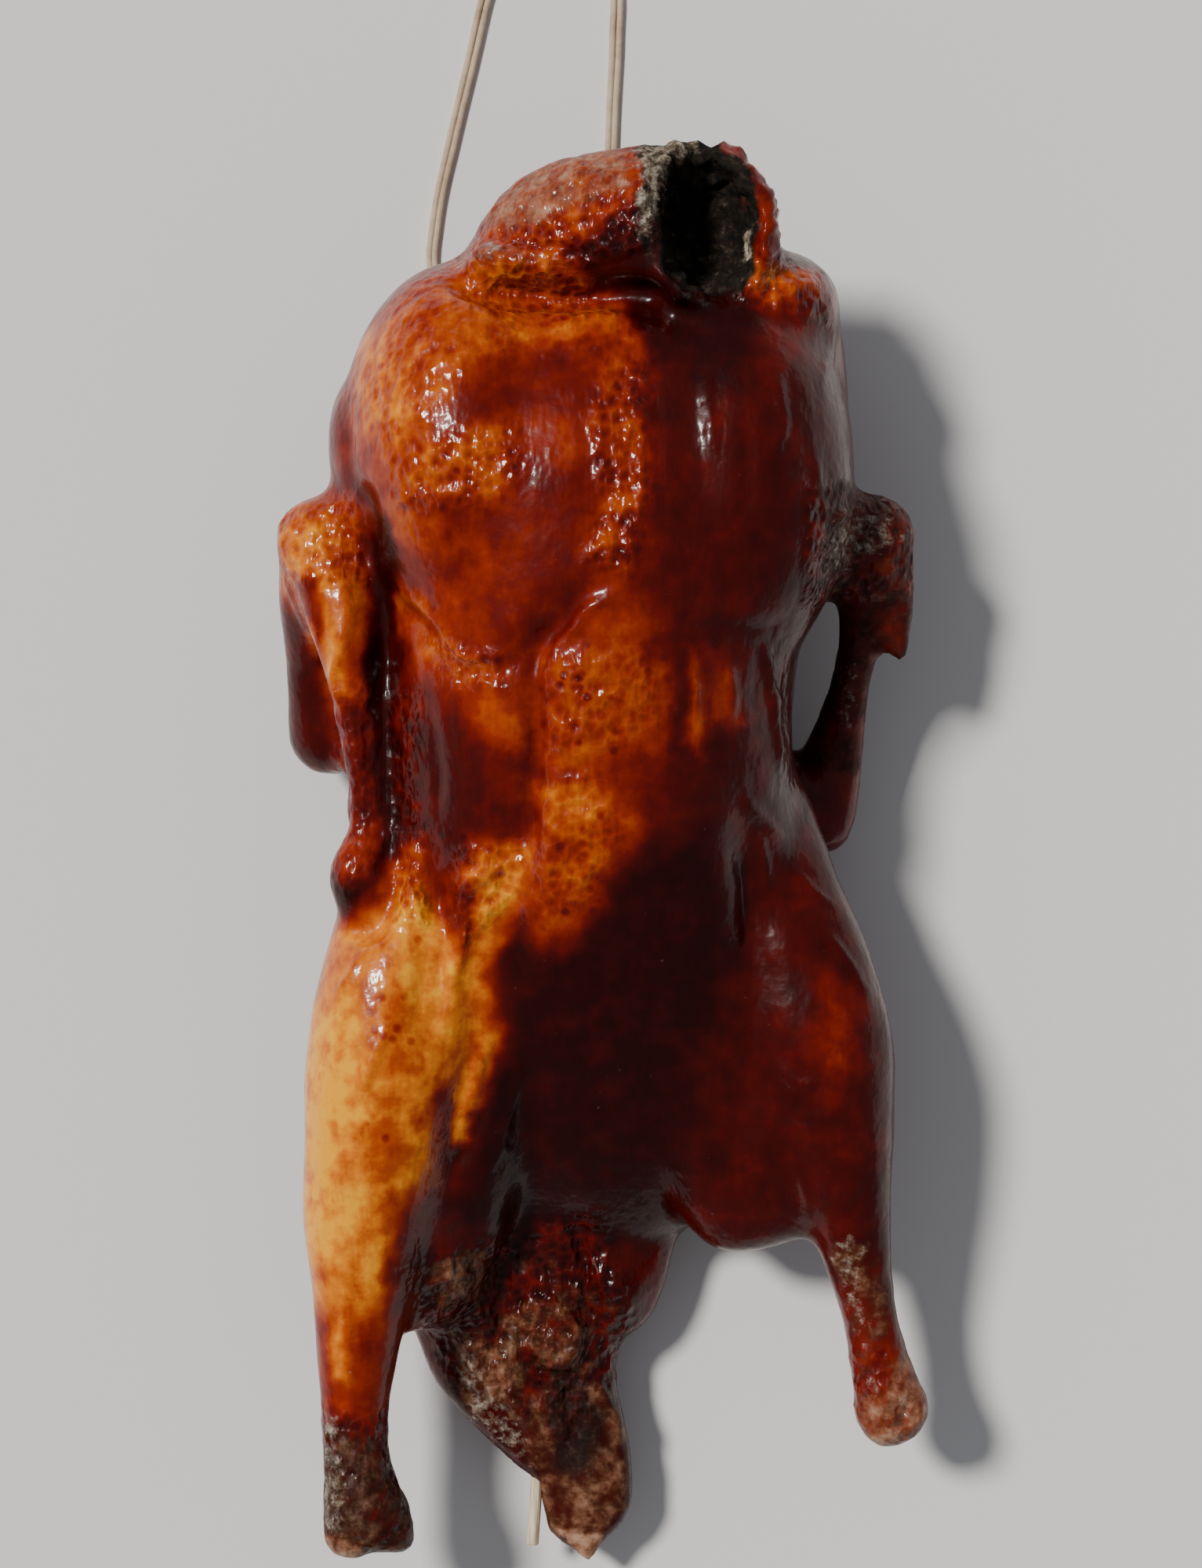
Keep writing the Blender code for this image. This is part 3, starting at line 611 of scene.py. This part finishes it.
def shape_skin(mesh):
    """Moves the skin's points along their normals for its folds, lumps, pebbles and burnt crust."""
    places = read(mesh, "co") / MM + (*TABLE_MIDDLE, 0)
    normals = read(mesh, "normal")
    facing = np.clip(normals[:, 2] * 2.2, 0, 1)
    above_floor = np.clip((places[:, 2] - 1) / 8, 0, 1)
    char_and_shade = painted(places, CHAR_AND_SHADE) * off_shoulders(places)
    rough = painted(places, DRIED_AND_SHEEN)
    ash_and_glints = painted(places, ASH_AND_GLINTS) * off_shoulders(places)
    muscle = 0.6 * grain(places, 20) + 0.16 * grain(places, 9, start=5)
    pebbles = pebbled(places) * (0.5 * grain(places, 4.6, start=9) + 0.34 * grain(places, 3.4, start=14))
    streaks = 1 - 2 * np.abs(grain(places, 4.2, stretch=(1, 4.5, 1.6), start=2))
    drawn = np.clip(0.05 + 0.9 * grain(places, 34, start=12), 0, 1)
    crust = np.abs(grain(places, 5, start=20)) * 2 - 0.5 + 0.5 * grain(places, 2.6, start=31)
    neck_end = within(places, NECK_RIM, 6)
    neck_end *= np.clip((places[:, 2] - RIM_HEIGHT) / FADE_HEIGHT, 0, 1)
    rise = muscle + pebbles + 0.3 * streaks * drawn + fold_heights(places, facing)
    rise += crust * (0.3 * char_and_shade + 1.5 * neck_end) + 3.2 * grain(places, 10, start=61) * neck_end
    rise += rough * 0.9 * grain(places, 6, start=90)
    rise += ash_and_glints * (0.7 * np.abs(grain(places, 3.6, start=95)) * 2 - 0.3)
    places += normals * (rise * above_floor)[:, None]
    mesh.vertices.foreach_set("co", ((places - (*TABLE_MIDDLE, 0)) * MM).ravel())
    mesh.update()


def colour_skin(mesh):
    """Writes how deep the roast is with its painted light and shade, the char with painted shade in hollows,
    how desiccated the skin is with its painted sheen, the grey ash with painted glints, and how pebbled and
    dotted each point of the skin is.
    """
    places = read(mesh, "co") / MM + (*TABLE_MIDDLE, 0)
    moved = places.copy()
    for size, reach, start in ((24, 4.5, 36), (9, 2.6, 40), (4, 1.5, 44)):
        moved[:, 0] += reach * grain(places, size, start=start)
        moved[:, 1] += reach * grain(places, size, start=start + 7)
    below = np.clip(-1.6 * read(mesh, "normal")[:, 2], 0, 1)
    roast_and_shade = painted(moved, ROAST_AND_SHADE, UNPAINTED_ROAST)
    roast_and_shade += 0.07 * grain(places, 11, start=50) + 0.05 * grain(places, 5, start=55)
    tints = {
        "roast_and_shade": np.clip(roast_and_shade * (1 - below) + below * BACK_ROAST, 0, 1),
        "char_and_shade": painted(moved, CHAR_AND_SHADE) * (1 - below) * off_shoulders(places),
        "dried_and_sheen": painted(moved, DRIED_AND_SHEEN) * (1 - below),
        "ash_and_glints": painted(moved, ASH_AND_GLINTS) * (1 - below) * off_shoulders(places),
        "pebbled": pebbled(places),
        "dotted": painted(moved, DOTTED) * (1 - below),
    }
    for name, values in tints.items():
        layer = mesh.attributes.new(name, "FLOAT", "POINT")
        layer.data.foreach_set("value", values.astype(np.float32))


def mixed(tree, factor, first, second):
    """first where the factor is 0 and second where it is 1."""
    node = tree.nodes.new("ShaderNodeMix")
    node.data_type = "RGBA"
    for value, socket in ((factor, node.inputs[0]), (first, node.inputs[6]), (second, node.inputs[7])):
        if isinstance(value, tuple):
            socket.default_value = (*value, 1)
        else:
            tree.links.new(value, socket)
    return node.outputs[2]


def maths(tree, operation, first, second, clamp=False):
    """One operation on two values, each a number or a socket."""
    node = tree.nodes.new("ShaderNodeMath")
    node.operation = operation
    node.use_clamp = clamp
    for value, socket in zip((first, second), node.inputs):
        if isinstance(value, (int, float)):
            socket.default_value = value
        else:
            tree.links.new(value, socket)
    return node.outputs[0]


def attribute(tree, name):
    """One of the levels that colour_skin wrote to the mesh."""
    node = tree.nodes.new("ShaderNodeAttribute")
    node.attribute_name = name
    return node.outputs["Fac"]


def pores(tree, scale):
    """Distance from the nearest feather pore, of about scale to the metre."""
    node = tree.nodes.new("ShaderNodeTexVoronoi")
    node.inputs["Scale"].default_value = scale
    place = tree.nodes.new("ShaderNodeTexCoord")
    tree.links.new(place.outputs["Object"], node.inputs["Vector"])
    return node.outputs["Distance"]


def skin_material():
    """Glazed skin, golden to mahogany with painted light and shade, dotted by its pores in places, charred
    or desiccated at the ends, with painted sheen and glints in places.
    """
    made, tree, shader = principled("roast_skin_glazed", (0.36, 0.09, 0.02), 0.3)
    mottle = noise_node(tree, 150, 3, roughness=0.62)
    streaks = noise_node(tree, 90, 2, stretch=(2.4, 0.5, 1))
    pebbles = attribute(tree, "pebbled")
    pore = pores(tree, 215)
    pebble = pores(tree, 300)

    def away(value, share):
        """How far a texture is from its middle, as a share."""
        return maths(tree, "MULTIPLY", maths(tree, "SUBTRACT", value, 0.5), share)

    spots = ramp(tree, pore, ((0.14, (0.3, 0.3, 0.3)), (0.36, (0, 0, 0))))
    patchy = ramp(tree, noise_node(tree, 60, 1), ((0.4, (0, 0, 0)), (0.56, (1, 1, 1))))
    spots = maths(tree, "MULTIPLY", maths(tree, "MULTIPLY", spots, patchy), attribute(tree, "dotted"))
    roast_and_shade = attribute(tree, "roast_and_shade")
    uneven = maths(tree, "ADD", away(mottle, 0.7), away(streaks, 0.34))
    uneven = maths(tree, "MULTIPLY", uneven, maths(tree, "SUBTRACT", 1.2, roast_and_shade))
    level = maths(tree, "ADD", roast_and_shade, uneven)
    pits = maths(tree, "MULTIPLY", maths(tree, "SUBTRACT", 0.44, pebble), pebbles)
    level = maths(tree, "ADD", level, maths(tree, "MULTIPLY", pits, 0.4))
    level = maths(tree, "ADD", level, spots, clamp=True)
    # Colour along the level, golden to near black: partly the roast, partly painted light and shade.
    roast_and_shade_colour = ramp(
        tree,
        level,
        (
            (0.0, (0.88, 0.37, 0.01)),
            (0.16, (0.7, 0.19, 0.003)),
            (0.34, (0.42, 0.062, 0.0012)),
            (0.52, (0.26, 0.016, 0.0006)),
            (0.68, (0.14, 0.0038, 0.0005)),
            (0.84, (0.062, 0.0013, 0.0004)),
            (1.0, (0.02, 0.0006, 0.0003)),
        ),
    )
    flakes = noise_node(tree, 330, 3, roughness=0.7)
    # Soot for char, and the near black of the painted shade inside the neck's open end and in the bone's
    # pit.
    soot_and_shade = ramp(
        tree,
        flakes,
        ((0.42, (0.005, 0.004, 0.003)), (0.58, (0.018, 0.012, 0.008)), (0.75, (0.07, 0.055, 0.04))),
    )
    edge = maths(tree, "ADD", attribute(tree, "char_and_shade"), away(mottle, 0.7))
    char_and_shade = maths(tree, "MULTIPLY", maths(tree, "SUBTRACT", edge, 0.25), 1.9, clamp=True)
    dry_and_sheen = maths(tree, "ADD", attribute(tree, "dried_and_sheen"), away(mottle, 0.8))
    dry_and_sheen = maths(tree, "MULTIPLY", maths(tree, "SUBTRACT", dry_and_sheen, 0.3), 1.7, clamp=True)
    bare = maths(tree, "ADD", maths(tree, "MULTIPLY", flakes, 0.4), maths(tree, "MULTIPLY", mottle, 0.6))
    bare = maths(tree, "ADD", bare, away(attribute(tree, "dried_and_sheen"), 0.46))
    # Tan of dried skin and bare bone, also the painted sheen on the neck.
    tan = ramp(
        tree,
        bare,
        (
            (0.36, (0.04, 0.012, 0.004)),
            (0.47, (0.12, 0.042, 0.015)),
            (0.57, (0.3, 0.13, 0.065)),
            (0.7, (0.5, 0.29, 0.19)),
        ),
    )
    ash_and_glint_share = maths(tree, "ADD", attribute(tree, "ash_and_glints"), away(flakes, 1.6))
    ash_and_glint_share = maths(tree, "MULTIPLY", maths(tree, "SUBTRACT", ash_and_glint_share, 0.35), 1.7, clamp=True)
    # Grey of ash, partly painted glints.
    grey = ramp(
        tree, flakes, ((0.35, (0.05, 0.035, 0.022)), (0.5, (0.17, 0.13, 0.09)), (0.66, (0.42, 0.36, 0.29)))
    )
    colour = mixed(tree, ash_and_glint_share, mixed(tree, char_and_shade, mixed(tree, dry_and_sheen, roast_and_shade_colour, tan), soot_and_shade), grey)
    tree.links.new(colour, shader.inputs["Base Color"])

    shader.inputs["Coat Roughness"].default_value = 0.09
    shader.inputs["Specular IOR Level"].default_value = 0.14
    dull = maths(tree, "MULTIPLY", maths(tree, "MAXIMUM", char_and_shade, maths(tree, "MULTIPLY", dry_and_sheen, 0.35)), 0.6)
    coat = maths(tree, "SUBTRACT", 0.56, maths(tree, "MULTIPLY", dull, 0.5))
    coat = maths(tree, "SUBTRACT", coat, maths(tree, "MULTIPLY", roast_and_shade, 0.42), clamp=True)
    tree.links.new(coat, shader.inputs["Coat Weight"])
    sheen = maths(tree, "ADD", maths(tree, "MULTIPLY", mottle, 0.22), 0.18)
    tree.links.new(maths(tree, "ADD", sheen, dull), shader.inputs["Roughness"])

    fine = noise_node(tree, 620, 1)
    ripple = noise_node(tree, 230, 1, stretch=(1.6, 0.8, 1))
    tight = maths(tree, "ADD", maths(tree, "MULTIPLY", fine, 0.05), maths(tree, "MULTIPLY", ripple, 0.16))
    loose = maths(tree, "ADD", pebble, maths(tree, "MULTIPLY", ripple, 1.3))
    height = maths(tree, "ADD", tight, maths(tree, "MULTIPLY", loose, pebbles))
    bump = tree.nodes.new("ShaderNodeBump")
    bump.inputs["Strength"].default_value = 0.75
    bump.inputs["Distance"].default_value = 0.0014
    tree.links.new(height, bump.inputs["Height"])
    tree.links.new(bump.outputs["Normal"], shader.inputs["Normal"])
    tree.links.new(bump.outputs["Normal"], shader.inputs["Coat Normal"])
    return made


skin_mesh = roasted_skin()
shape_skin(skin_mesh)
colour_skin(skin_mesh)
skin_mesh.materials.clear()
skin_mesh.materials.append(skin_material())
skin_mesh.shade_smooth()
duck = bpy.data.objects.new("duck_roasted", skin_mesh)
home.objects.link(duck)
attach(duck, "root")
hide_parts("duck")


# The skewer that pins the vent shut is a plain pale stick, with grease soaked into its grain.
def skewer_material():
    """Pale wood with long darker veins along the stick."""
    made, tree, shader = principled("pale_wood", (0.78, 0.68, 0.5), 0.6)
    veins = noise_node(tree, 900, 3, stretch=(1, 0.06, 1))
    colour = ramp(
        tree, veins, ((0.35, (0.42, 0.28, 0.15)), (0.55, (0.68, 0.55, 0.38)), (0.7, (0.8, 0.7, 0.55)))
    )
    tree.links.new(colour, shader.inputs["Base Color"])
    bump = tree.nodes.new("ShaderNodeBump")
    bump.inputs["Strength"].default_value = 0.4
    bump.inputs["Distance"].default_value = 0.0002
    tree.links.new(veins, bump.inputs["Height"])
    tree.links.new(bump.outputs["Normal"], shader.inputs["Normal"])
    return made


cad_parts["skewer"].material_slots[0].material = skewer_material()


# The set: a plain pale floor under one soft key light from the upper left, with a dim pale sky for fill.
FLOOR_SIZE = 40
KEY_FROM = Vector((-0.5, 0.32, 0.8))
KEY_STRENGTH = 3.6
KEY_SOFTNESS = 10

floor_mesh = bmesh.new()
bmesh.ops.create_grid(floor_mesh, x_segments=1, y_segments=1, size=FLOOR_SIZE / 2)
floor_data = bpy.data.meshes.new("floor")
floor_mesh.to_mesh(floor_data)
floor_mesh.free()
floor_data.materials.append(principled("pale_floor", (0.8, 0.795, 0.78), 0.9)[0])
floor = bpy.data.objects.new("floor", floor_data)
home.objects.link(floor)

key_data = bpy.data.lights.new("key", "SUN")
key_data.energy = KEY_STRENGTH
key_data.angle = math.radians(KEY_SOFTNESS)
key_data.color = (1, 0.97, 0.92)
key = bpy.data.objects.new("key", key_data)
key.rotation_euler = (-KEY_FROM).to_track_quat("-Z", "Y").to_euler()
home.objects.link(key)

world = bpy.data.worlds.new("studio")
world.use_nodes = True
world.node_tree.nodes["Background"].inputs["Color"].default_value = (0.9, 0.93, 1, 1)
world.node_tree.nodes["Background"].inputs["Strength"].default_value = 0.25
bpy.context.scene.world = world
